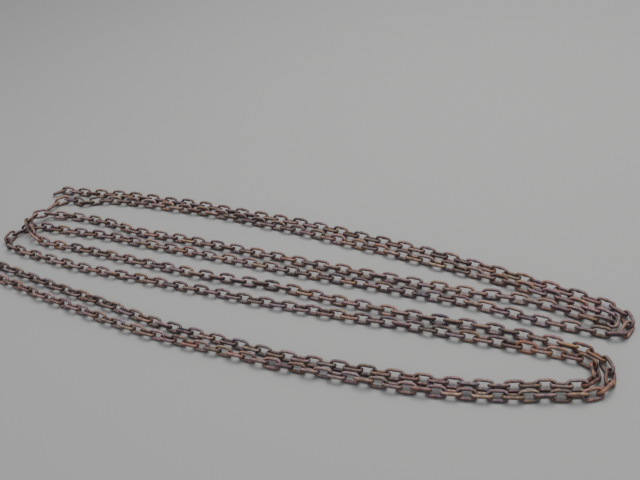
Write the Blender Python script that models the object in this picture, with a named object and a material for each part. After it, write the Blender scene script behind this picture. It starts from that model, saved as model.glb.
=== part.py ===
"""Two ten metre lengths of welded steel chain, laid to and fro side by side on a level floor.

Metres, Z up, floor at Z 0. The long side of the lay runs along X. Each link is a closed
ring whose wire is a three sided bar, flat towards the eye and pointed outwards, and each
link is fused to the next one at the crown, where the two touch.
"""

import math
import random

import bmesh
import bpy
from mathutils import Vector

# Sizes of one link
WIRE = 0.0096
PITCH = 0.040
LINK_WIDTH = 0.035

# The faceted bar that stands for the round wire
BAR_HALF = 0.0062
BAR_DEEP = 0.0110
EYE_HALF = LINK_WIDTH / 2 - WIRE
CROWN_OUT = PITCH / 2 + BAR_DEEP
SIDE_OUT = EYE_HALF + BAR_DEEP
SHOULDER = 0.0024
CROWN_FLAT = 0.0067
SIDE_FLAT = 0.0207

# Rest and fit
GAP = 0.0008
LEAN = math.radians(45)
FREE_END_LEANS = (-24, 61, -34)

# The lay is drawn in fortieths of a pitch, which are millimetres at this size, so it grows with the links
STEP = PITCH / 40
MOVE = STEP * Vector((870.0, -272.2, 0.0))

# Where strand A lies over strand B, and how far it is raised there
CROSSING_AT = STEP * Vector((-1640, 327))
CROSSING_REACH = STEP * 125
CROSSING_LIFT = 0.81 * LINK_WIDTH

# The link that lies across the hairpin of strand A, and where its two neighbours pull on it:
# 1 is the neighbour on the far side and -1 the one on the near side
HAIRPIN = STEP * Vector((442.0, 498.5))
HAIRPIN_SLACK = 0.0030
HAIRPIN_APART = {1: 0.275 * PITCH, -1: 0.285 * PITCH}
HAIRPIN_LEANS = {1: (-87, 36, -50), -1: (-84, 36, -50)}

# The way each strand lies, in steps along X and Y. Strand A has a way out from each side of the
# link across its hairpin, and strand B one way from its free end at the far left.
A_FAR = [
    (402, 519), (372, 527), (346, 533), (230, 551), (106, 565), (-22, 574), (-155, 580), (-300, 588),
    (-450, 593), (-610, 599), (-770, 599), (-940, 597), (-1120, 587), (-1300, 572), (-1395, 559),
    (-1475, 540), (-1515, 517), (-1556, 505), (-1595, 512), (-1624, 506), (-1646, 485), (-1660, 452),
    (-1678, 400),
]
A_REST = [
    (408, 486), (378, 491), (345, 498), (300, 503), (240, 506), (180, 507), (120, 502), (60, 493),
    (0, 487), (-120, 478), (-220, 475), (-320, 468), (-430, 464), (-540, 458), (-650, 454),
    (-770, 449), (-890, 443), (-1010, 438), (-1100, 430), (-1170, 423), (-1240, 425), (-1320, 433),
    (-1400, 433), (-1490, 429), (-1545, 422), (-1596, 412), (-1631, 398), (-1655, 369), (-1662, 343),
    (-1639, 315), (-1607, 288), (-1572, 274), (-1530, 268), (-1450, 272), (-1360, 279), (-1270, 283),
    (-1130, 287), (-1000, 294), (-880, 297), (-760, 306), (-650, 320), (-580, 329), (-510, 332),
    (-400, 333), (-270, 338), (-140, 345), (-20, 354), (70, 364), (160, 371), (250, 373), (350, 374),
    (395, 371), (426, 363), (448, 347), (461, 325), (468, 298), (465, 272), (453, 248), (425, 227),
    (393, 213), (347, 198), (300, 180), (254, 162), (204, 147), (155, 133), (104, 121), (53, 109),
    (0, 98), (-68, 87), (-150, 76), (-240, 65), (-330, 54), (-420, 45), (-525, 39), (-630, 33),
    (-735, 26), (-850, 22), (-970, 22), (-1105, 29), (-1245, 36), (-1370, 43), (-1480, 54),
    (-1570, 60), (-1700, 66), (-1850, 70), (-2000, 72), (-2098, 74), (-2149, 61), (-2171, 39),
    (-2179, 8), (-2163, -19), (-2131, -35), (-2068, -43), (-1950, -43), (-1800, -46), (-1650, -54),
    (-1400, -70),
]
B_WHOLE = [
    (-1712, 527), (-1680, 549), (-1645, 555), (-1605, 560), (-1511, 575), (-1421, 592), (-1326, 602),
    (-1187, 613), (-1053, 623), (-916, 625), (-748, 631), (-627, 636), (-507, 635), (-390, 630),
    (-243, 625), (-103, 618), (0, 608), (97, 598), (192, 586), (283, 575), (369, 564), (418, 556),
    (455, 543), (479, 522), (487, 496), (483, 470), (464, 454), (430, 448), (380, 447), (309, 442),
    (226, 441), (138, 444), (48, 445), (-43, 440), (-137, 433), (-235, 427), (-336, 421), (-440, 414),
    (-548, 408), (-662, 403), (-778, 397), (-856, 391), (-941, 387), (-1067, 380), (-1154, 375),
    (-1247, 373), (-1339, 366), (-1427, 354), (-1521, 345), (-1575, 341), (-1620, 333), (-1655, 315),
    (-1680, 289), (-1692, 258), (-1686, 230), (-1662, 213), (-1625, 204), (-1568, 200), (-1490, 199),
    (-1388, 198), (-1293, 198), (-1205, 204), (-1119, 211), (-1038, 219), (-955, 224), (-875, 229),
    (-799, 237), (-723, 243), (-649, 248), (-576, 253), (-508, 260), (-439, 267), (-372, 273),
    (-307, 279), (-243, 286), (-182, 295), (-121, 302), (-60, 307), (29, 314), (114, 321), (197, 328),
    (278, 334), (345, 339), (385, 340), (411, 334), (428, 317), (434, 295), (428, 272), (409, 254),
    (380, 243), (339, 231), (292, 214), (245, 194), (200, 177), (150, 166), (100, 154), (42, 142),
    (-13, 133), (-67, 123), (-150, 111), (-240, 99), (-330, 89), (-425, 79), (-530, 76), (-635, 72),
    (-745, 67), (-860, 67), (-970, 74), (-1085, 83), (-1220, 88), (-1345, 94), (-1450, 101),
    (-1555, 108), (-1680, 112), (-1850, 114), (-2020, 114), (-2130, 112), (-2190, 95), (-2222, 60),
    (-2226, 15), (-2205, -30), (-2160, -62), (-2080, -76), (-1950, -80), (-1800, -84), (-1650, -92),
    (-1400, -108),
]

# How many links each named stretch holds, in the order in which the chain is laid
A_FAR_STRETCHES = [
    ("far_run_4", 13), ("far_run_3", 13), ("far_run_2", 13), ("far_run_1", 14), ("far_end_link", 1),
]
A_REST_STRETCHES = [
    ("third_run_1", 13), ("third_run_2", 13), ("third_run_3", 13), ("third_run_4", 12),
    ("crossing_turn", 5), ("fifth_run_1", 13), ("fifth_run_2", 13), ("fifth_run_3", 12),
    ("fifth_run_4", 11), ("near_turn", 6), ("near_run_1", 12), ("near_run_2", 13), ("near_run_3", 13),
    ("near_run_4", 13), ("last_run_1", 13), ("last_turn", 6), ("last_run_2", 13), ("last_end_link", 1),
]
B_STRETCHES = [
    ("far_end_link", 1), ("far_run_1", 13), ("far_run_2", 13), ("far_run_3", 13), ("far_run_4", 13),
    ("far_turn", 5), ("fourth_run_1", 13), ("fourth_run_2", 13), ("fourth_run_3", 13),
    ("fourth_run_4", 12), ("outer_turn", 6), ("sixth_run_1", 13), ("sixth_run_2", 13),
    ("sixth_run_3", 12), ("sixth_run_4", 11), ("near_turn", 5), ("near_run_1", 12), ("near_run_2", 13),
    ("near_run_3", 13), ("near_run_4", 13), ("last_run_1", 12), ("last_turn", 7), ("last_run_2", 10),
    ("last_end_link", 1),
]

RUST_A = ((0.150, 0.090, 0.080), 0.82, 0.25)
RUST_B = ((0.132, 0.082, 0.075), 0.84, 0.25)


def clear_scene():
    for item in list(bpy.data.objects):
        bpy.data.objects.remove(item, do_unlink=True)


def material(name, look):
    colour, roughness, metallic = look
    made = bpy.data.materials.new(name)
    made.use_nodes = True
    shader = made.node_tree.nodes["Principled BSDF"]
    shader.inputs["Base Color"].default_value = (*colour, 1.0)
    shader.inputs["Roughness"].default_value = roughness
    shader.inputs["Metallic"].default_value = metallic
    made.diffuse_color = (*colour, 1.0)
    return made


def smooth_way(points, steps=24):
    """A smooth curve through the points, as a dense list of places on the floor."""
    places = [STEP * Vector(p) for p in points]
    places = [2 * places[0] - places[1], *places, 2 * places[-1] - places[-2]]
    way = []
    for p0, p1, p2, p3 in zip(places, places[1:], places[2:], places[3:]):
        # Centripetal spacing keeps the curve from looping between uneven points
        t1 = math.sqrt((p1 - p0).length)
        t2 = t1 + math.sqrt((p2 - p1).length)
        t3 = t2 + math.sqrt((p3 - p2).length)
        for step in range(steps):
            t = t1 + (t2 - t1) * step / steps
            a1 = p0 * ((t1 - t) / t1) + p1 * (t / t1)
            a2 = p1 * ((t2 - t) / (t2 - t1)) + p2 * ((t - t1) / (t2 - t1))
            a3 = p2 * ((t3 - t) / (t3 - t2)) + p3 * ((t - t2) / (t3 - t2))
            b1 = a1 * ((t2 - t) / t2) + a2 * (t / t2)
            b2 = a2 * ((t3 - t) / (t3 - t1)) + a3 * ((t - t1) / (t3 - t1))
            way.append(b1 * ((t2 - t) / (t2 - t1)) + b2 * ((t - t1) / (t2 - t1)))
    return way


def lift_at(place, over):
    """How far the upper strand is raised where it lies over the other one."""
    if not over:
        return 0.0
    reach = (place - CROSSING_AT).length / CROSSING_REACH
    return CROSSING_LIFT * (0.5 + 0.5 * math.cos(math.pi * reach)) if reach < 1 else 0.0


def joints_along(way, count, over):
    """The places where link meets link, each one pitch from the last."""
    joints = [Vector((*way[0], lift_at(way[0], over)))]
    for start, end in zip(way, way[1:]):
        low = Vector((*start, lift_at(start, over)))
        high = Vector((*end, lift_at(end, over)))
        while (high - joints[-1]).length >= PITCH and len(joints) <= count:
            near, far = 0.0, 1.0
            for _ in range(30):
                middle = (near + far) / 2
                if (low.lerp(high, middle) - joints[-1]).length < PITCH:
                    near = middle
                else:
                    far = middle
            joints.append(low.lerp(high, far))
        if len(joints) > count:
            break
    return joints


def leans_of(count, seed, first_leans, last_leans):
    """The roll of each link about the chain: turn and turn about, with a slow drift and a little chance."""
    chance = random.Random(seed)
    leans = []
    for link in range(count):
        drift = 5 * math.sin(0.13 * link + seed) + 3 * math.sin(0.37 * link + 2 * seed)
        side = 1 if link % 2 else -1
        leans.append(side * LEAN + math.radians(drift + chance.uniform(-3, 3)))
    # Towards a free end or the hairpin the leans run over into those that the end needs
    for place, angle in enumerate(first_leans):
        leans[place] = math.radians(angle)
    turned = 1 if count % 2 else -1
    for place, angle in enumerate(last_leans):
        leans[-1 - place] = turned * math.radians(angle)
    return leans


def rest_height(lean):
    """How high the middle of a link lies when its lowest edge is on the floor."""
    slope = abs(math.sin(lean))
    round_wire = (LINK_WIDTH - WIRE) / 2 * slope + WIRE / 2
    return max(round_wire, SIDE_OUT * slope, EYE_HALF * slope + BAR_HALF * abs(math.cos(lean)))


def axes_of(start, end, lean):
    """The link's own directions: along it, across it in its plane, and square to its plane."""
    along = (end - start).normalized()
    left = Vector((0, 0, 1)).cross(along).normalized()
    up = along.cross(left)
    across = math.cos(lean) * left + math.sin(lean) * up
    return along, across, along.cross(across)


def lay_links(points, count, seed, over, first_leans, last_leans):
    """Each link as its middle and its axes, and the joints between links."""
    joints = joints_along(smooth_way(points), count, over)
    leans = leans_of(count, seed, first_leans, last_leans)
    rests = [rest_height(lean) for lean in leans]
    for number, joint in enumerate(joints):
        joint.z += max(rests[max(number - 1, 0) : number + 1])
        joint += MOVE
    links = []
    for number, lean in enumerate(leans):
        start, end = joints[number], joints[number + 1]
        links.append(((start + end) / 2, *axes_of(start, end, lean)))
    return joints, links


def crown_square(joint, link):
    """The four corners of a link's flat crown at a joint."""
    _, _, across, square = link
    signs = ((1, 1), (-1, 1), (-1, -1), (1, -1))
    return [joint + BAR_HALF * (a * across + b * square) for a, b in signs]


def meeting_square(joint, before, after):
    """The four corners that two links share, in the order of each link's own corners."""
    first = crown_square(joint, before)
    second = crown_square(joint, after)
    shifts = []
    for shift in range(4):
        apart = sum((first[k] - second[(k + shift) % 4]).length for k in range(4))
        shifts.append((apart, shift))
    shift = min(shifts)[1]
    shared = [(first[k] + second[(k + shift) % 4]) / 2 for k in range(4)]
    return shared, [shared[(k - shift) % 4] for k in range(4)]


def add_link(mesh, link, back, front, open_back, open_front):
    """Adds one ring. back and front are the vertices of its two flat crowns, in corner order."""
    middle, along, across, square = link

    def vertex(x, y, z):
        return mesh.verts.new(middle + x * along + y * across + z * square)

    # Stations go round the ring from the front crown, each as inner low, inner high, outer
    stations = [
        (front[3], front[0], vertex(CROWN_OUT, CROWN_FLAT, 0)),
        None,
        None,
        (back[3], back[0], vertex(-CROWN_OUT, CROWN_FLAT, 0)),
        (back[2], back[1], vertex(-CROWN_OUT, -CROWN_FLAT, 0)),
        None,
        None,
        (front[2], front[1], vertex(CROWN_OUT, -CROWN_FLAT, 0)),
    ]
    eye_end = PITCH / 2 - SHOULDER
    for place, x, y in ((1, 1, 1), (2, -1, 1), (5, -1, -1), (6, 1, -1)):
        stations[place] = (
            vertex(x * eye_end, y * EYE_HALF, -BAR_HALF),
            vertex(x * eye_end, y * EYE_HALF, BAR_HALF),
            vertex(x * SIDE_FLAT, y * SIDE_OUT, 0),
        )
    for number in range(8):
        low, high, out = stations[number]
        next_low, next_high, next_out = stations[(number + 1) % 8]
        mesh.faces.new((high, next_high, next_out, out))
        mesh.faces.new((out, next_out, next_low, low))
        at_joint = (number == 7 and open_front) or (number == 3 and open_back)
        if not at_joint:
            mesh.faces.new((low, next_low, next_high, high))


def add_stretch(name, joints, links, first, count, look):
    """One object: a row of links fused at their joints, a gap short of the links beyond each end."""
    mesh = bmesh.new()
    last = first + count - 1
    back = None
    for number in range(first, last + 1):
        link = links[number]
        if number == 0:
            back = [mesh.verts.new(p) for p in crown_square(joints[0], link)]
        elif number == first:
            _, corners = meeting_square(joints[number], links[number - 1], link)
            pull = GAP / 2 * (links[number - 1][1] + link[1]).normalized()
            back = [mesh.verts.new(p - pull) for p in corners]
        if number == len(links) - 1:
            front = [mesh.verts.new(p) for p in crown_square(joints[-1], link)]
            next_back = None
        else:
            corners, matching = meeting_square(joints[number + 1], link, links[number + 1])
            pull = GAP / 2 * (link[1] + links[number + 1][1]).normalized()
            push = pull if number == last else Vector((0, 0, 0))
            front = [mesh.verts.new(p + push) for p in corners]
            next_back = [front[corners.index(p)] for p in matching]
        add_link(mesh, link, back, front, number > first, number < last)
        back = next_back
    bmesh.ops.recalc_face_normals(mesh, faces=mesh.faces)
    data = bpy.data.meshes.new(name)
    mesh.to_mesh(data)
    mesh.free()
    data.materials.append(look)
    item = bpy.data.objects.new(name, data)
    bpy.context.scene.collection.objects.link(item)
    return item


def hairpin_way(points, side):
    """The way out from one side of the hairpin link: it starts where that neighbour pulls."""
    start = HAIRPIN + Vector((HAIRPIN_SLACK - EYE_HALF, side * HAIRPIN_APART[side]))
    return [start / STEP, *points]


def hairpin_link(height):
    """The link that lies flat across the hairpin of strand A."""
    middle = Vector((*HAIRPIN, height)) + MOVE
    half = Vector((0, PITCH / 2, 0))
    joints = [middle + half, middle - half]
    return joints, [(middle, *axes_of(*joints, 0.0))]


def add_lay(prefix, holder, joints, links, stretches, look):
    first = 0
    for label, count in stretches:
        item = add_stretch(f"{prefix}_{label}", joints, links, first, count, look)
        item.parent = holder
        first += count


def links_in(stretches):
    return sum(count for _, count in stretches)


def lays():
    """Every laid length of chain: name, joints, links, stretches."""
    far = lay_links(
        hairpin_way(A_FAR, 1), links_in(A_FAR_STRETCHES), 3, False, HAIRPIN_LEANS[1], FREE_END_LEANS
    )
    rest = lay_links(
        hairpin_way(A_REST, -1), links_in(A_REST_STRETCHES), 1, True, HAIRPIN_LEANS[-1], FREE_END_LEANS
    )
    turn = hairpin_link((far[0][0].z + rest[0][0].z) / 2 - MOVE.z)
    whole = lay_links(B_WHOLE, links_in(B_STRETCHES), 2, False, FREE_END_LEANS, FREE_END_LEANS)
    return [
        ("strand_a", *far, A_FAR_STRETCHES),
        ("strand_a", *turn, [("hairpin_link", 1)]),
        ("strand_a", *rest, A_REST_STRETCHES),
        ("strand_b", *whole, B_STRETCHES),
    ]


def main():
    clear_scene()
    looks = {
        "strand_a": material("rusty_steel_a", RUST_A),
        "strand_b": material("rusty_steel_b", RUST_B),
    }
    holders = {}
    for prefix in looks:
        holders[prefix] = bpy.data.objects.new(prefix, None)
        bpy.context.scene.collection.objects.link(holders[prefix])
    for prefix, joints, links, stretches in lays():
        add_lay(prefix, holders[prefix], joints, links, stretches, looks[prefix])


main()
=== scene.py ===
"""Two ten metre lengths of rusty welded chain, laid to and fro side by side on a level floor."""

import math
import random

import bmesh
import bpy
from mathutils import Matrix, Vector
from mathutils.kdtree import KDTree


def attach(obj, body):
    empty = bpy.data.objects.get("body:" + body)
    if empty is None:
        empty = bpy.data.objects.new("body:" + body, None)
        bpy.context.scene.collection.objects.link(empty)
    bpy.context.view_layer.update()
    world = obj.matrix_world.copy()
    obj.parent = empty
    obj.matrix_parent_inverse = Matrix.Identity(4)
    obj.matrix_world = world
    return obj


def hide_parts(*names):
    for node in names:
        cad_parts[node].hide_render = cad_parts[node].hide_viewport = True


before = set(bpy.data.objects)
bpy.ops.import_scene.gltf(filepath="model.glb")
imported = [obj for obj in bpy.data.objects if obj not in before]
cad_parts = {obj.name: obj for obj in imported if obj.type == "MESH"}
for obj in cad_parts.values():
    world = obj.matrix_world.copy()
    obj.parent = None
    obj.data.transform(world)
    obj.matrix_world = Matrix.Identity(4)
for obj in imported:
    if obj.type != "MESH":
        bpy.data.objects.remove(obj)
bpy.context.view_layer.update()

# Sizes of one link, and how far the middle of its wire lies from the middle of its bend
WIRE = 0.0096
PITCH = 0.040
LINK_WIDTH = 0.035
BEND = (LINK_WIDTH - WIRE) / 2

# The faceted bar of the fixed frame, which sets how high a leaning link lies
BAR_HALF = 0.0062
BAR_DEEP = 0.0110
EYE_HALF = LINK_WIDTH / 2 - WIRE
SIDE_OUT = EYE_HALF + BAR_DEEP

# A drawn link is longer than the pitch asks, for the play in its joints, and the middles of its two
# bends lie this far to either side of its own middle
SLACK = 0.0012
STRETCH = (PITCH + SLACK) / 2 + WIRE / 2 - BEND

# The cage that is rounded to one link: its corners about the wire and steps about the link, how far its
# points stand off the true bend and wire, and how far they are drawn out or in across the link, as a
# share of the bend, from an angle on. Last come how near points are merged and are in one plane
CAGE_SIDES = 5
CAGE_STEPS = 10
CAGE_OUT = 1.068
CAGE_ROUND = 1.305
CAGE_SHOULDER = 0.164
CAGE_SHOULDER_FROM = 40
CAGE_SIDE = -0.082
CAGE_SIDE_FROM = 80
ROUNDING_LEVELS = 2
SAME_PLACE = 1e-5
SAME_PLANE = 1e-6

# The weld half way along one side of a link
WELD_REACH = 0.4 * WIRE
WELD_SWELL = 1.14

# Along a run every other link stands up in the picture, turned towards the near side by these degrees,
# and by so many less at the right end
STAND_UP = 22
STAND_LESS = 16

# What chance adds to a link's roll, in degrees: a drift that goes on in part from link to link, and each
# link's own share
ROLL_SEED = 7
DRIFT_KEPT = 0.85
DRIFT_CHANCE = 6
ROLL_CHANCE = 8
MOST_ROLL = 36

# How far a link that rolls flatter may sink, how deep joined wires may press, and the lifts and the
# shares of its roll that a link tries until it fits
MOST_SINK = 0.0010
PRESS = 0.0003
LIFTS = (0.0, 0.0006, 0.0012, 0.0018)
SHARES = (1.0, 0.8, 0.6, 0.4, 0.2, 0.0, -0.2, -0.4, -0.6)

# How many links stay as laid at each end, how far off other links are looked for, and how near the
# middles of their wires may lie
KEPT_AT_ENDS = 3
NEAR_LINKS = 0.064
CLEAR_OF = WIRE + 0.0002

# Where distances between wires are taken: to these degrees round a bend, in coarse or fine steps, and
# at these shares of a side
BEND_END = 80
BEND_COARSE = 20
BEND_FINE = 8
SIDE_SHARES = (-0.9, -0.45, 0.0, 0.45, 0.9)

# The photograph's view: the place of the eye, and its right, down and forward directions
EYE = Vector((0.47793584, -0.95884998, 1.58757419))
EYE_RIGHT = Vector((0.89160328, 0.42866164, -0.14592045))
EYE_DOWN = Vector((0.18692639, -0.64193744, -0.74362279))
EYE_FORWARD = Vector((-0.41243437, 0.63574014, -0.6524817))
EYE_LENS = 39.46
SENSOR_WIDTH = 36

# How the links lean and lie, as in the fixed frame: turn and turn about, with slow waves of a size, a
# rate and a share of the seed, and a little chance, in degrees
LEAN = math.radians(45)
LEAN_WAVES = ((5, 0.13, 1), (3, 0.37, 2))
LEAN_CHANCE = 3
FREE_END_LEANS = (-24, 61, -34)

# The lay is drawn in fortieths of a pitch, which are millimetres at this size, so it grows with the
# links, and it is moved to the middle of the frame
STEP = PITCH / 40
MOVE = STEP * Vector((870.0, -272.2, 0.0))

# Where strand A lies over strand B, and how far it is raised there
CROSSING_AT = STEP * Vector((-1640, 327))
CROSSING_REACH = STEP * 125
CROSSING_LIFT = 0.81 * LINK_WIDTH

# The link that lies across the hairpin of strand A, and where its two neighbours pull on it:
# 1 is the neighbour on the far side and -1 the one on the near side
HAIRPIN = STEP * Vector((442.0, 498.5))
HAIRPIN_SLACK = 0.0030
HAIRPIN_APART = {1: 0.275 * PITCH, -1: 0.285 * PITCH}
HAIRPIN_LEANS = {1: (-87, 36, -50), -1: (-84, 36, -50)}

# The way each strand lies, in steps along X and Y. Strand A has a way out from each side of the
# link across its hairpin, and strand B one way from its free end at the far left.
A_FAR = [
    (402, 519), (372, 527), (346, 533), (230, 551), (106, 565), (-22, 574), (-155, 580), (-300, 588),
    (-450, 593), (-610, 599), (-770, 599), (-940, 597), (-1120, 587), (-1300, 572), (-1395, 559),
    (-1475, 540), (-1515, 517), (-1556, 505), (-1595, 512), (-1624, 506), (-1646, 485), (-1660, 452),
    (-1678, 400),
]
A_REST = [
    (408, 486), (378, 491), (345, 498), (300, 503), (240, 506), (180, 507), (120, 502), (60, 493),
    (0, 487), (-120, 478), (-220, 475), (-320, 468), (-430, 464), (-540, 458), (-650, 454),
    (-770, 449), (-890, 443), (-1010, 438), (-1100, 430), (-1170, 423), (-1240, 425), (-1320, 433),
    (-1400, 433), (-1490, 429), (-1545, 422), (-1596, 412), (-1631, 398), (-1655, 369), (-1662, 343),
    (-1639, 315), (-1607, 288), (-1572, 274), (-1530, 268), (-1450, 272), (-1360, 279), (-1270, 283),
    (-1130, 287), (-1000, 294), (-880, 297), (-760, 306), (-650, 320), (-580, 329), (-510, 332),
    (-400, 333), (-270, 338), (-140, 345), (-20, 354), (70, 364), (160, 371), (250, 373), (350, 374),
    (395, 371), (426, 363), (448, 347), (461, 325), (468, 298), (465, 272), (453, 248), (425, 227),
    (393, 213), (347, 198), (300, 180), (254, 162), (204, 147), (155, 133), (104, 121), (53, 109),
    (0, 98), (-68, 87), (-150, 76), (-240, 65), (-330, 54), (-420, 45), (-525, 39), (-630, 33),
    (-735, 26), (-850, 22), (-970, 22), (-1105, 29), (-1245, 36), (-1370, 43), (-1480, 54),
    (-1570, 60), (-1700, 66), (-1850, 70), (-2000, 72), (-2098, 74), (-2149, 61), (-2171, 39),
    (-2179, 8), (-2163, -19), (-2131, -35), (-2068, -43), (-1950, -43), (-1800, -46), (-1650, -54),
    (-1400, -70),
]
B_WHOLE = [
    (-1712, 527), (-1680, 549), (-1645, 555), (-1605, 560), (-1511, 575), (-1421, 592), (-1326, 602),
    (-1187, 613), (-1053, 623), (-916, 625), (-748, 631), (-627, 636), (-507, 635), (-390, 630),
    (-243, 625), (-103, 618), (0, 608), (97, 598), (192, 586), (283, 575), (369, 564), (418, 556),
    (455, 543), (479, 522), (487, 496), (483, 470), (464, 454), (430, 448), (380, 447), (309, 442),
    (226, 441), (138, 444), (48, 445), (-43, 440), (-137, 433), (-235, 427), (-336, 421), (-440, 414),
    (-548, 408), (-662, 403), (-778, 397), (-856, 391), (-941, 387), (-1067, 380), (-1154, 375),
    (-1247, 373), (-1339, 366), (-1427, 354), (-1521, 345), (-1575, 341), (-1620, 333), (-1655, 315),
    (-1680, 289), (-1692, 258), (-1686, 230), (-1662, 213), (-1625, 204), (-1568, 200), (-1490, 199),
    (-1388, 198), (-1293, 198), (-1205, 204), (-1119, 211), (-1038, 219), (-955, 224), (-875, 229),
    (-799, 237), (-723, 243), (-649, 248), (-576, 253), (-508, 260), (-439, 267), (-372, 273),
    (-307, 279), (-243, 286), (-182, 295), (-121, 302), (-60, 307), (29, 314), (114, 321), (197, 328),
    (278, 334), (345, 339), (385, 340), (411, 334), (428, 317), (434, 295), (428, 272), (409, 254),
    (380, 243), (339, 231), (292, 214), (245, 194), (200, 177), (150, 166), (100, 154), (42, 142),
    (-13, 133), (-67, 123), (-150, 111), (-240, 99), (-330, 89), (-425, 79), (-530, 76), (-635, 72),
    (-745, 67), (-860, 67), (-970, 74), (-1085, 83), (-1220, 88), (-1345, 94), (-1450, 101),
    (-1555, 108), (-1680, 112), (-1850, 114), (-2020, 114), (-2130, 112), (-2190, 95), (-2222, 60),
    (-2226, 15), (-2205, -30), (-2160, -62), (-2080, -76), (-1950, -80), (-1800, -84), (-1650, -92),
    (-1400, -108),
]

# How many links each named stretch holds, in the order in which the chain is laid
A_FAR_STRETCHES = [
    ("far_run_4", 13), ("far_run_3", 13), ("far_run_2", 13), ("far_run_1", 14), ("far_end_link", 1),
]
A_REST_STRETCHES = [
    ("third_run_1", 13), ("third_run_2", 13), ("third_run_3", 13), ("third_run_4", 12),
    ("crossing_turn", 5), ("fifth_run_1", 13), ("fifth_run_2", 13), ("fifth_run_3", 12),
    ("fifth_run_4", 11), ("near_turn", 6), ("near_run_1", 12), ("near_run_2", 13), ("near_run_3", 13),
    ("near_run_4", 13), ("last_run_1", 13), ("last_turn", 6), ("last_run_2", 13), ("last_end_link", 1),
]
B_STRETCHES = [
    ("far_end_link", 1), ("far_run_1", 13), ("far_run_2", 13), ("far_run_3", 13), ("far_run_4", 13),
    ("far_turn", 5), ("fourth_run_1", 13), ("fourth_run_2", 13), ("fourth_run_3", 13),
    ("fourth_run_4", 12), ("outer_turn", 6), ("sixth_run_1", 13), ("sixth_run_2", 13),
    ("sixth_run_3", 12), ("sixth_run_4", 11), ("near_turn", 5), ("near_run_1", 12), ("near_run_2", 13),
    ("near_run_3", 13), ("near_run_4", 13), ("last_run_1", 12), ("last_turn", 7), ("last_run_2", 10),
    ("last_end_link", 1),
]


def smooth_way(points, steps=24):
    """A smooth curve through the points, as a dense list of places on the floor."""
    places = [STEP * Vector(p) for p in points]
    places = [2 * places[0] - places[1], *places, 2 * places[-1] - places[-2]]
    way = []
    for p0, p1, p2, p3 in zip(places, places[1:], places[2:], places[3:]):
        # Centripetal spacing keeps the curve from looping between uneven points
        t1 = math.sqrt((p1 - p0).length)
        t2 = t1 + math.sqrt((p2 - p1).length)
        t3 = t2 + math.sqrt((p3 - p2).length)
        for step in range(steps):
            t = t1 + (t2 - t1) * step / steps
            a1 = p0 * ((t1 - t) / t1) + p1 * (t / t1)
            a2 = p1 * ((t2 - t) / (t2 - t1)) + p2 * ((t - t1) / (t2 - t1))
            a3 = p2 * ((t3 - t) / (t3 - t2)) + p3 * ((t - t2) / (t3 - t2))
            b1 = a1 * ((t2 - t) / t2) + a2 * (t / t2)
            b2 = a2 * ((t3 - t) / (t3 - t1)) + a3 * ((t - t1) / (t3 - t1))
            way.append(b1 * ((t2 - t) / (t2 - t1)) + b2 * ((t - t1) / (t2 - t1)))
    return way


def lift_at(place, over):
    """How far the upper strand is raised where it lies over the other one."""
    if not over:
        return 0.0
    reach = (place - CROSSING_AT).length / CROSSING_REACH
    return CROSSING_LIFT * (0.5 + 0.5 * math.cos(math.pi * reach)) if reach < 1 else 0.0


def joints_along(way, count, over):
    """The places where link meets link, each one pitch from the last."""
    joints = [Vector((*way[0], lift_at(way[0], over)))]
    for start, end in zip(way, way[1:]):
        low = Vector((*start, lift_at(start, over)))
        high = Vector((*end, lift_at(end, over)))
        while (high - joints[-1]).length >= PITCH and len(joints) <= count:
            near, far = 0.0, 1.0
            for _ in range(30):
                middle = (near + far) / 2
                if (low.lerp(high, middle) - joints[-1]).length < PITCH:
                    near = middle
                else:
                    far = middle
            joints.append(low.lerp(high, far))
        if len(joints) > count:
            break
    return joints


def leans_of(count, seed, first_leans, last_leans):
    """The roll of each link about the chain: turn and turn about, with slow waves and a little chance."""
    chance = random.Random(seed)
    leans = []
    for link in range(count):
        drift = sum(size * math.sin(rate * link + share * seed) for size, rate, share in LEAN_WAVES)
        side = 1 if link % 2 else -1
        leans.append(side * LEAN + math.radians(drift + chance.uniform(-LEAN_CHANCE, LEAN_CHANCE)))
    # Towards a free end or the hairpin the leans run over into those that the end needs
    for place, angle in enumerate(first_leans):
        leans[place] = math.radians(angle)
    turned = 1 if count % 2 else -1
    for place, angle in enumerate(last_leans):
        leans[-1 - place] = turned * math.radians(angle)
    return leans


def rest_height(lean):
    """How high the middle of a link lies when its lowest edge is on the floor."""
    slope = abs(math.sin(lean))
    round_wire = BEND * slope + WIRE / 2
    return max(round_wire, SIDE_OUT * slope, EYE_HALF * slope + BAR_HALF * abs(math.cos(lean)))


def axes_of(start, end, lean):
    """The link's own directions: along it, across it in its plane, and square to its plane."""
    along = (end - start).normalized()
    left = Vector((0, 0, 1)).cross(along).normalized()
    up = along.cross(left)
    across = math.cos(lean) * left + math.sin(lean) * up
    return along, across, along.cross(across)


def lay_links(points, count, seed, over, first_leans, last_leans):
    """Each link as its middle and its axes, and the joints between links."""
    joints = joints_along(smooth_way(points), count, over)
    leans = leans_of(count, seed, first_leans, last_leans)
    rests = [rest_height(lean) for lean in leans]
    for number, joint in enumerate(joints):
        joint.z += max(rests[max(number - 1, 0) : number + 1])
        joint += MOVE
    links = []
    for number, lean in enumerate(leans):
        start, end = joints[number], joints[number + 1]
        links.append(((start + end) / 2, *axes_of(start, end, lean)))
    return joints, links


def hairpin_way(points, side):
    """The way out from one side of the hairpin link: it starts where that neighbour pulls."""
    start = HAIRPIN + Vector((HAIRPIN_SLACK - EYE_HALF, side * HAIRPIN_APART[side]))
    return [start / STEP, *points]


def hairpin_link(height):
    """The link that lies flat across the hairpin of strand A."""
    middle = Vector((*HAIRPIN, height)) + MOVE
    half = Vector((0, PITCH / 2, 0))
    joints = [middle + half, middle - half]
    return joints, [(middle, *axes_of(*joints, 0.0))]


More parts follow.
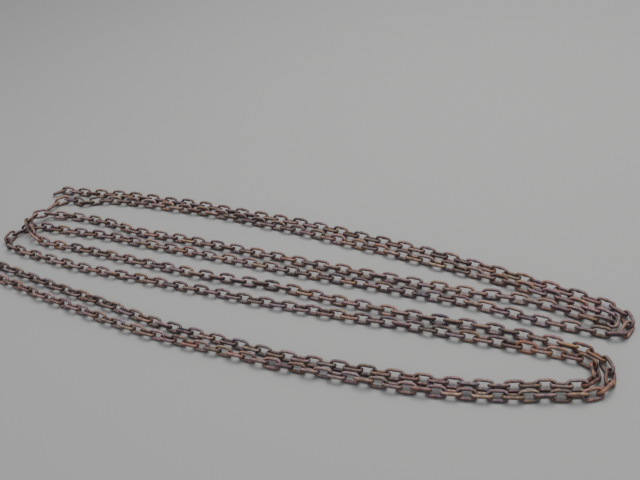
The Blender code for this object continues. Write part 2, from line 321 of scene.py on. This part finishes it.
def links_in(stretches):
    """How many links these stretches hold together."""
    return sum(count for _, count in stretches)


def lays():
    """Every laid length of chain: name, joints, links, stretches."""
    far = lay_links(
        hairpin_way(A_FAR, 1), links_in(A_FAR_STRETCHES), 3, False, HAIRPIN_LEANS[1], FREE_END_LEANS
    )
    rest = lay_links(
        hairpin_way(A_REST, -1), links_in(A_REST_STRETCHES), 1, True, HAIRPIN_LEANS[-1], FREE_END_LEANS
    )
    turn = hairpin_link((far[0][0].z + rest[0][0].z) / 2 - MOVE.z)
    whole = lay_links(B_WHOLE, links_in(B_STRETCHES), 2, False, FREE_END_LEANS, FREE_END_LEANS)
    return [
        ("strand_a", *far, A_FAR_STRETCHES),
        ("strand_a", *turn, [("hairpin_link", 1)]),
        ("strand_a", *rest, A_REST_STRETCHES),
        ("strand_b", *whole, B_STRETCHES),
    ]


class Value:
    """An output of a shader node. Maths written on it in Python adds the nodes that do it."""

    def __init__(self, finish, socket):
        self.finish = finish
        self.socket = socket

    def maths(self, operation, *numbers):
        """The result of one operation on these values and numbers."""
        sockets = dict(enumerate(numbers))
        return self.finish.node("ShaderNodeMath", {"operation": operation}, sockets)

    def __add__(self, other):
        return self.maths("ADD", self, other)

    def __sub__(self, other):
        return self.maths("SUBTRACT", self, other)

    def __rsub__(self, other):
        return self.maths("SUBTRACT", other, self)

    def __mul__(self, other):
        return self.maths("MULTIPLY", self, other)

    def __abs__(self):
        return self.maths("ABSOLUTE", self)

    __radd__ = __add__
    __rmul__ = __mul__

    def ramp(self, low, high, bottom=0.0, top=1.0):
        """Runs smoothly from bottom to top while this value runs from low to high."""
        sockets = {0: self, 1: low, 2: high, 3: bottom, 4: top}
        return self.finish.node("ShaderNodeMapRange", {"interpolation_type": "SMOOTHSTEP"}, sockets)


class Finish:
    """A material under construction, on one Principled shader."""

    def __init__(self, name):
        self.material = bpy.data.materials.new(name)
        self.material.use_nodes = True
        self.tree = self.material.node_tree
        self.shader = self.tree.nodes["Principled BSDF"]

    def join(self, value, socket):
        """Feeds a socket with another node's output, or sets it to a constant."""
        if isinstance(value, Value):
            self.tree.links.new(value.socket, socket)
        else:
            socket.default_value = value

    def node(self, kind, settings=None, sockets=None, output=0):
        """Adds a node of this kind and returns one of its outputs."""
        made = self.tree.nodes.new(kind)
        for name, value in (settings or {}).items():
            setattr(made, name, value)
        for name, value in (sockets or {}).items():
            self.join(value, made.inputs[name])
        return Value(self, made.outputs[output])

    def surface(self, **sockets):
        """Feeds the sockets of the shader itself."""
        for name, value in sockets.items():
            self.join(value, self.shader.inputs[name.replace("_", " ")])

    def coordinates(self):
        """The place on the object."""
        return self.node("ShaderNodeTexCoord", output="Object")

    def attribute(self, name):
        """A vector that is stored at each corner of the mesh."""
        return self.node("ShaderNodeAttribute", {"attribute_name": name}, output="Vector")

    def noise(self, place, scale, detail, roughness):
        """An even noise between about 0 and 1."""
        sockets = {"Vector": place, "Scale": scale, "Detail": detail, "Roughness": roughness}
        return self.node("ShaderNodeTexNoise", None, sockets)

    def blend(self, amount, first, second):
        """Mixes two colours, by how much of the second there is."""
        settings = {"data_type": "RGBA", "clamp_factor": True}
        return self.node("ShaderNodeMix", settings, {0: amount, 6: first, 7: second}, output=2)

    def tinted(self, colour, tint):
        """Scales each channel of a colour by that of a tint."""
        return self.node("ShaderNodeVectorMath", {"operation": "MULTIPLY"}, {0: colour, 1: tint})

    def parts(self, vector):
        """The X, Y and Z of a vector."""
        split = self.node("ShaderNodeSeparateXYZ", None, {0: vector}).socket.node
        return [Value(self, socket) for socket in split.outputs]

    def bump(self, height, distance, strength):
        """The normal that a height gives the surface."""
        sockets = {"Height": height, "Distance": distance, "Strength": strength}
        return self.node("ShaderNodeBump", None, sockets)


# Scale, detail and roughness of the noises in the rust
PATCHES = (60.0, 4.0, 0.62)
FLAKES = (260.0, 5.0, 0.65)
GRAINS = (950.0, 3.0, 0.6)
WARMTH = (75.0, 3.0, 0.55)

# Colours that both looks share, and the two casts between which the warmth of the rust goes
PIT = (0.022, 0.014, 0.014, 1)
BARE_STEEL = (0.034, 0.029, 0.035, 1)
WORN_STEEL = (0.045, 0.034, 0.034, 1)
WELD_STEEL = (0.070, 0.050, 0.046, 1)
COOL_CAST = (0.94, 1.01, 1.28, 1)
WARM_CAST = (1.12, 1.05, 0.90, 1)

# Where links bear on each other, and where the weld is, by the place on the link's cage. Each pair of
# distances runs from nothing to the full effect
BEARING_INNER = (0.0195, 0.0225)
BEARING_OUTER = (0.0285, 0.0245)
BEARING_ACROSS = (0.0085, 0.0045)
WELD_ALONG = (0.0052, 0.0030)
WELD_ACROSS = (0.004, 0.006)

# Depth of the bump in metres, and its strength
BUMP_DEPTH = 0.0016
BUMP_STRENGTH = 0.7


def rusty_steel(name, ground, deep, scaly, dust_and_highlight_tan, orange, roughness):
    """Old brown rust: pitted, with orange bloom, bare dark spots, and pale dusting with a painted
    highlight on its upper sides.
    """
    finish = Finish(name)
    place = finish.coordinates()
    ring_x, ring_y, _ = finish.parts(finish.attribute("ring_place"))
    bloom_chance, bare_chance, dust_and_highlight_chance = finish.parts(finish.attribute("link_tones"))
    tint = finish.attribute("link_tint")
    patches = finish.noise(place, *PATCHES)
    flakes = finish.noise(place, *FLAKES)
    grains = finish.noise(place, *GRAINS)
    warmth = finish.noise(place, *WARMTH)
    scale = flakes * 0.65 + grains * 0.35
    _, _, upward = finish.parts(finish.node("ShaderNodeNewGeometry", output="Normal"))

    # Where links bear on each other, inside the crowns, the rust is rubbed away and the steel is dark
    bearing = abs(ring_x).ramp(*BEARING_INNER) * abs(ring_x).ramp(*BEARING_OUTER)
    bearing = bearing * abs(ring_y).ramp(*BEARING_ACROSS)
    weld = abs(ring_x).ramp(*WELD_ALONG) * ring_y.ramp(*WELD_ACROSS)

    colour = finish.blend(patches.ramp(0.36, 0.62), deep, ground)
    colour = finish.blend(scale.ramp(0.50, 0.62) * 0.55, colour, scaly)
    colour = finish.blend(grains.ramp(0.46, 0.32) * 0.85, colour, PIT)
    # Painted top highlight: the upper sides are lightened towards a pale brown, partly as dusting and
    # partly as painted light falling from above
    dust_and_highlight_mask = upward.ramp(0.25, 1.0) * scale.ramp(0.37, 0.62) * (0.4 + 0.6 * dust_and_highlight_chance)
    colour = finish.blend(dust_and_highlight_mask * 0.9, colour, dust_and_highlight_tan)
    bloom = bloom_chance * patches.ramp(0.66, 0.40) * scale.ramp(0.34, 0.52)
    colour = finish.blend(bloom, colour, orange)
    bare = bare_chance * patches.ramp(0.34, 0.60)
    colour = finish.blend(bare, colour, BARE_STEEL)
    colour = finish.blend(bearing * 0.8, colour, WORN_STEEL)
    colour = finish.blend(weld * scale.ramp(0.35, 0.60) * 0.6, colour, WELD_STEEL)
    cast = finish.blend(warmth.ramp(0.36, 0.64), COOL_CAST, WARM_CAST)
    colour = finish.tinted(finish.tinted(colour, tint), cast)

    finish.surface(
        Base_Color=colour,
        Roughness=roughness - bearing * 0.25 - bare * 0.12 + (grains - 0.5) * 0.2,
        Metallic=0.05 + bearing * 0.5 + bare * 0.3,
        Normal=finish.bump(scale, BUMP_DEPTH, BUMP_STRENGTH),
    )
    return finish.material


def floor_finish():
    """Plain pale grey, without a shine."""
    finish = Finish("pale_floor")
    finish.surface(Base_Color=(0.35, 0.346, 0.34, 1), Roughness=0.9)
    return finish.material


def crown_places(step):
    """Places along the middle of the wire at one end of a link, in the link's own plane."""
    turns = [math.radians(angle) for angle in range(-BEND_END, BEND_END + 1, step)]
    return [(STRETCH + BEND * math.cos(turn), BEND * math.sin(turn)) for turn in turns]


def ring_places():
    """Places along the middle of one link's wire all the way round, in the link's own plane."""
    crown = crown_places(BEND_COARSE)
    side = [(share * STRETCH, BEND) for share in SIDE_SHARES]
    return crown + side + [(-x, y) for x, y in crown] + [(x, -y) for x, y in side]


def wire_line(link, places):
    """Where these places of a link lie in the scene."""
    middle, along, across, _ = link
    return [middle + x * along + y * across for x, y in places]


def clearance(line, others):
    """The least distance from the middle of one link's wire to that of any other."""
    return min(((one - two).length for other in others for one in line for two in other), default=1.0)


def joint_gap(before, after):
    """How far apart the wires of two joined links are, or less than nothing where they overlap."""
    front = crown_places(BEND_FINE)
    back = [(-x, y) for x, y in front]
    return clearance(wire_line(before, front), [wire_line(after, back)]) - WIRE


def rolled(link, angle, lift):
    """The link lifted and turned about its own length, on its lowest edge or little below it."""
    middle, along, across, square = link
    turn = Matrix.Rotation(angle, 3, along)
    turned = turn @ across
    rise = max(BEND * (abs(turned.z) - abs(across.z)), -MOST_SINK)
    return middle + Vector((0, 0, rise + lift)), along, turned, turn @ square


def fitted(link, roll, before, after, near, places):
    """The link with as much of this roll as fits, and the line of its wire.

    It has to stay clear of the lines near it and of the wires of the links before and after it.
    """
    tries = []
    for lift in LIFTS:
        for share in SHARES:
            tried = rolled(link, math.radians(share * roll), lift)
            line = wire_line(tried, places)
            joints = min(joint_gap(before, tried), joint_gap(tried, after)) + PRESS
            room = min(joints, clearance(line, near) - CLEAR_OF)
            if room >= 0.0:
                return tried, line
            tries.append((room, tried, line))
    return max(tries, key=lambda one: one[0])[1:]


def loosened(laid):
    """The same chains with each link rolled by chance and stood up, as far as it fits."""
    places = ring_places()
    keys = [(lay, number) for lay, (_, _, links, _) in enumerate(laid) for number in range(len(links))]
    lines = {key: wire_line(laid[key[0]][2][key[1]], places) for key in keys}
    tree = KDTree(len(keys))
    for index, (lay, number) in enumerate(keys):
        tree.insert(laid[lay][2][number][0], index)
    tree.balance()
    chance = random.Random(ROLL_SEED)
    for lay, (_, _, links, _) in enumerate(laid):
        drift = 0.0
        for number in range(KEPT_AT_ENDS, len(links) - KEPT_AT_ENDS):
            drift = DRIFT_KEPT * drift + chance.gauss(0, DRIFT_CHANCE)
            before, link, after = links[number - 1 : number + 2]
            middle, along, *_ = link
            stand = STAND_UP - STAND_LESS * max(0.0, min(middle.x, 1.0))
            facing = stand * along.dot(EYE_RIGHT)
            roll = max(-MOST_ROLL, min(facing + drift + chance.gauss(0, ROLL_CHANCE), MOST_ROLL))
            around = [keys[index] for _, index, _ in tree.find_range(middle, NEAR_LINKS)]
            own = {(lay, number + step) for step in (-1, 0, 1)}
            near = [lines[key] for key in around if key not in own]
            links[number], lines[lay, number] = fitted(link, roll, before, after, near, places)
    return laid


def raised(link):
    """The link lifted off the floor where one of its ends or its weld would dip into it."""
    middle, along, across, square = link
    wire = WIRE / 2 * (WELD_SWELL if across.z < 0 else 1.0)
    low = middle.z - BEND * math.hypot(along.z, across.z) - STRETCH * abs(along.z) - wire
    return middle + Vector((0, 0, max(-low, 0.0))), along, across, square


def link_cage():
    """One link, lying flat with its length along X: a wire bent round and welded on one long side."""
    cage = bmesh.new()
    upright = Matrix.Translation((0, CAGE_OUT * BEND, 0)) @ Matrix.Rotation(math.pi / 2, 4, "Y")
    thick = Matrix.Diagonal((1, CAGE_OUT, 1, 1))
    radius = CAGE_ROUND * WIRE / 2
    bmesh.ops.create_circle(cage, segments=CAGE_SIDES, radius=radius, matrix=upright @ thick)
    bmesh.ops.spin(
        cage,
        geom=cage.edges[:],
        cent=(0, 0, 0),
        axis=(0, 0, 1),
        angle=2 * math.pi,
        steps=CAGE_STEPS,
        use_merge=True,
    )
    bmesh.ops.remove_doubles(cage, verts=cage.verts, dist=SAME_PLACE)
    # The bends part to their places, and the sides between them are drawn straight
    for vertex in cage.verts:
        x, y, _ = vertex.co
        turn = math.degrees(math.atan2(abs(y), abs(x)))
        draw = 0
        if turn > CAGE_SHOULDER_FROM:
            draw = CAGE_SIDE if turn > CAGE_SIDE_FROM else CAGE_SHOULDER
        vertex.co.y += draw * BEND * math.copysign(1, y)
        if abs(x) > SAME_PLACE:
            vertex.co.x += math.copysign(STRETCH, x)
    # The weld is a short swelling half way along one side
    for reach in (-WELD_REACH, WELD_REACH):
        side = [face for face in cage.faces if face.calc_center_median().y > 0]
        around = {part for face in side for part in (*face.edges, *face.verts)}
        bmesh.ops.bisect_plane(
            cage,
            geom=[*side, *around],
            plane_co=(reach, 0, 0),
            plane_no=(1, 0, 0),
            dist=SAME_PLANE,
        )
    weld = [vertex for vertex in cage.verts if abs(vertex.co.x) < SAME_PLACE and vertex.co.y > 0]
    centre = sum((vertex.co for vertex in weld), Vector()) / len(weld)
    swell = Matrix.Diagonal((1, WELD_SWELL, WELD_SWELL, 1))
    bmesh.ops.transform(cage, matrix=swell, space=Matrix.Translation(-centre), verts=weld)
    bmesh.ops.recalc_face_normals(cage, faces=cage.faces)
    place = cage.verts.layers.float_vector.new("ring_place")
    cage.verts.layers.float_vector.new("link_tones")
    cage.verts.layers.float_vector.new("link_tint")
    for vertex in cage.verts:
        vertex[place] = vertex.co
    shape = bpy.data.meshes.new("link_cage")
    cage.to_mesh(shape)
    cage.free()
    return shape


# Places where the rust is more orange, more red, or dark and bare: the place, its reach and its strength
ORANGE_PLACES = [
    ((1.314, 0.004), 0.045, 0.9),
    ((1.235, 0.093), 0.050, 0.6),
    ((1.315, -0.045), 0.035, 0.6),
    ((1.138, 0.049), 0.035, 0.7),
]
RED_PLACES = [((1.188, 0.237), 0.07, 1.0), ((1.243, 0.271), 0.06, 1.0), ((0.913, -0.175), 0.07, 1.0)]
BARE_PLACES = [((0.867, 0.047), 0.05, 0.8), ((1.065, 0.085), 0.05, 0.8), ((1.285, 0.031), 0.04, 0.8)]
RED_GAIN = 1.2

# What chance does to the rust of a link: the middle and spread of each tone, and the least and most
BLOOM_TONE = (0.0, 0.22, 0.0, math.inf)
BARE_TONE = (-0.05, 0.35, 0.0, math.inf)
OCHRE_TONE = (0.0, 0.9, -1.0, 1.6)
RED_TONE = (0.0, 0.6, -1.2, 1.2)
SHADE_TONE = (0.96, 0.15, -math.inf, math.inf)
DUST_AND_HIGHLIGHT_RANGE = (0.15, 1.0)
FIRST_TONE_SEED = 11
MOST_BLOOM = 1.0
MOST_BARE = 0.9

# What a full tone of ochre and of red adds to each channel
OCHRE_TINT = (0.03, 0.03, -0.12)
RED_TINT = (0.06, -0.05, 0.0)


def nearness(place, spots):
    """How strongly the spots of a list act at this place."""
    most = 0.0
    for middle, reach, strength in spots:
        apart = (Vector(place[:2]) - Vector(middle)).length / reach
        most = max(most, strength * math.exp(-apart * apart))
    return most


def drawn(chance, middle, spread, least, most):
    """A tone drawn by chance and kept between its least and its most."""
    return max(least, min(chance.gauss(middle, spread), most))


def tones_of(links, seed):
    """The rust of each link: its chances of orange bloom, bare steel, and pale dusting with a painted top
    highlight, and its tint.
    """
    chance = random.Random(seed)
    tones = []
    for middle, *_ in links:
        bloom = drawn(chance, *BLOOM_TONE) + nearness(middle, ORANGE_PLACES)
        bare = drawn(chance, *BARE_TONE) + nearness(middle, BARE_PLACES)
        # How much pale dusting and painted top highlight the upper sides of this link take
        dust_and_highlight = chance.uniform(*DUST_AND_HIGHLIGHT_RANGE)
        ochre = drawn(chance, *OCHRE_TONE)
        red = drawn(chance, *RED_TONE) + RED_GAIN * nearness(middle, RED_PLACES)
        shade = drawn(chance, *SHADE_TONE)
        tint = tuple(shade * (1.0 + a * ochre + b * red) for a, b in zip(OCHRE_TINT, RED_TINT))
        tones.append(((min(bloom, MOST_BLOOM), min(bare, MOST_BARE), dust_and_highlight), tint))
    return tones


def add_links(name, links, tones, shape, look):
    """A stretch of links as one piece, each link a copy of the cage laid along its own axes."""
    mesh = bmesh.new()
    for (middle, along, across, square), tone in zip(links, tones):
        before = len(mesh.verts)
        mesh.from_mesh(shape)
        mesh.verts.ensure_lookup_table()
        new = mesh.verts[before:]
        layers = [mesh.verts.layers.float_vector[label] for label in ("link_tones", "link_tint")]
        for vertex in new:
            for layer, values in zip(layers, tone):
                vertex[layer] = values
        turn = Matrix((along, across, square)).transposed().to_4x4()
        bmesh.ops.transform(mesh, matrix=Matrix.Translation(middle) @ turn, verts=new)
    data = bpy.data.meshes.new(name)
    mesh.to_mesh(data)
    mesh.free()
    data.materials.append(look)
    data.shade_smooth()
    item = bpy.data.objects.new(name, data)
    bpy.context.scene.collection.objects.link(item)
    rounding = item.modifiers.new("rounding", "SUBSURF")
    rounding.levels = ROUNDING_LEVELS
    rounding.render_levels = ROUNDING_LEVELS
    return item


def add_chain():
    """Both strands, one piece for each stretch of links."""
    # The palest colour of each look goes on the upper sides, as dusting and as a painted top highlight
    looks = {
        "strand_a": rusty_steel(
            name="rusty_steel_a",
            ground=(0.144, 0.084, 0.076, 1),
            deep=(0.066, 0.038, 0.036, 1),
            scaly=(0.240, 0.117, 0.084, 1),
            dust_and_highlight_tan=(0.510, 0.362, 0.318, 1),
            orange=(0.380, 0.160, 0.060, 1),
            roughness=0.66,
        ),
        "strand_b": rusty_steel(
            name="rusty_steel_b",
            ground=(0.128, 0.077, 0.072, 1),
            deep=(0.058, 0.036, 0.036, 1),
            scaly=(0.206, 0.103, 0.077, 1),
            dust_and_highlight_tan=(0.470, 0.338, 0.298, 1),
            orange=(0.330, 0.140, 0.060, 1),
            roughness=0.70,
        ),
    }
    shape = link_cage()
    for seed, (prefix, _, links, stretches) in enumerate(loosened(lays()), FIRST_TONE_SEED):
        links = [raised(link) for link in links]
        tones = tones_of(links, seed)
        first = 0
        for label, count in stretches:
            last = first + count
            name = f"links_{prefix}_{label}"
            piece = add_links(name, links[first:last], tones[first:last], shape, looks[prefix])
            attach(piece, "root")
            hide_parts(f"{prefix}_{label}")
            first = last
    bpy.data.meshes.remove(shape)


# Half the width of the floor, and how far it lies below the chain, so that the two never coincide
FLOOR_HALF = 20
FLOOR_DROP = 0.0002


def add_floor():
    """A plain level floor."""
    mesh = bmesh.new()
    bmesh.ops.create_grid(mesh, x_segments=1, y_segments=1, size=FLOOR_HALF)
    data = bpy.data.meshes.new("floor")
    mesh.to_mesh(data)
    mesh.free()
    data.transform(Matrix.Translation((0, 0, -FLOOR_DROP)))
    data.materials.append(floor_finish())
    floor = bpy.data.objects.new("floor", data)
    bpy.context.scene.collection.objects.link(floor)


def add_light(name, place, aim, width, power, colour):
    """A square soft lamp that looks from its place towards its aim."""
    data = bpy.data.lights.new(name, "AREA")
    data.shape = "SQUARE"
    data.size = width
    data.energy = power
    data.color = colour
    light = bpy.data.objects.new(name, data)
    light.location = place
    light.rotation_euler = (Vector(aim) - Vector(place)).to_track_quat("-Z", "Y").to_euler()
    bpy.context.scene.collection.objects.link(light)


def add_studio():
    """Soft daylight from all sides, a large lamp above and behind, and a faint one from the left."""
    world = bpy.data.worlds.new("soft_daylight")
    world.use_nodes = True
    background = world.node_tree.nodes["Background"]
    background.inputs["Color"].default_value = (0.93, 0.96, 1.0, 1)
    background.inputs["Strength"].default_value = 0.55
    bpy.context.scene.world = world
    add_light(
        name="sky_panel",
        place=(0.9, 1.6, 4.0),
        aim=(0.2, 0, 0),
        width=2.6,
        power=165,
        colour=(1.0, 0.98, 0.96),
    )
    add_light(
        name="side_panel",
        place=(-3.0, -1.2, 2.6),
        aim=(0, 0, 0),
        width=2.0,
        power=16,
        colour=(0.94, 0.97, 1.0),
    )


def add_camera():
    """The photograph's view."""
    data = bpy.data.cameras.new("camera")
    data.sensor_width = SENSOR_WIDTH
    data.lens = EYE_LENS
    data.clip_start = 0.01
    camera = bpy.data.objects.new("camera", data)
    turn = Matrix((EYE_RIGHT, -EYE_DOWN, -EYE_FORWARD)).transposed().to_4x4()
    camera.matrix_world = Matrix.Translation(EYE + MOVE) @ turn
    bpy.context.scene.collection.objects.link(camera)
    bpy.context.scene.camera = camera


add_camera()
add_chain()
add_floor()
add_studio()
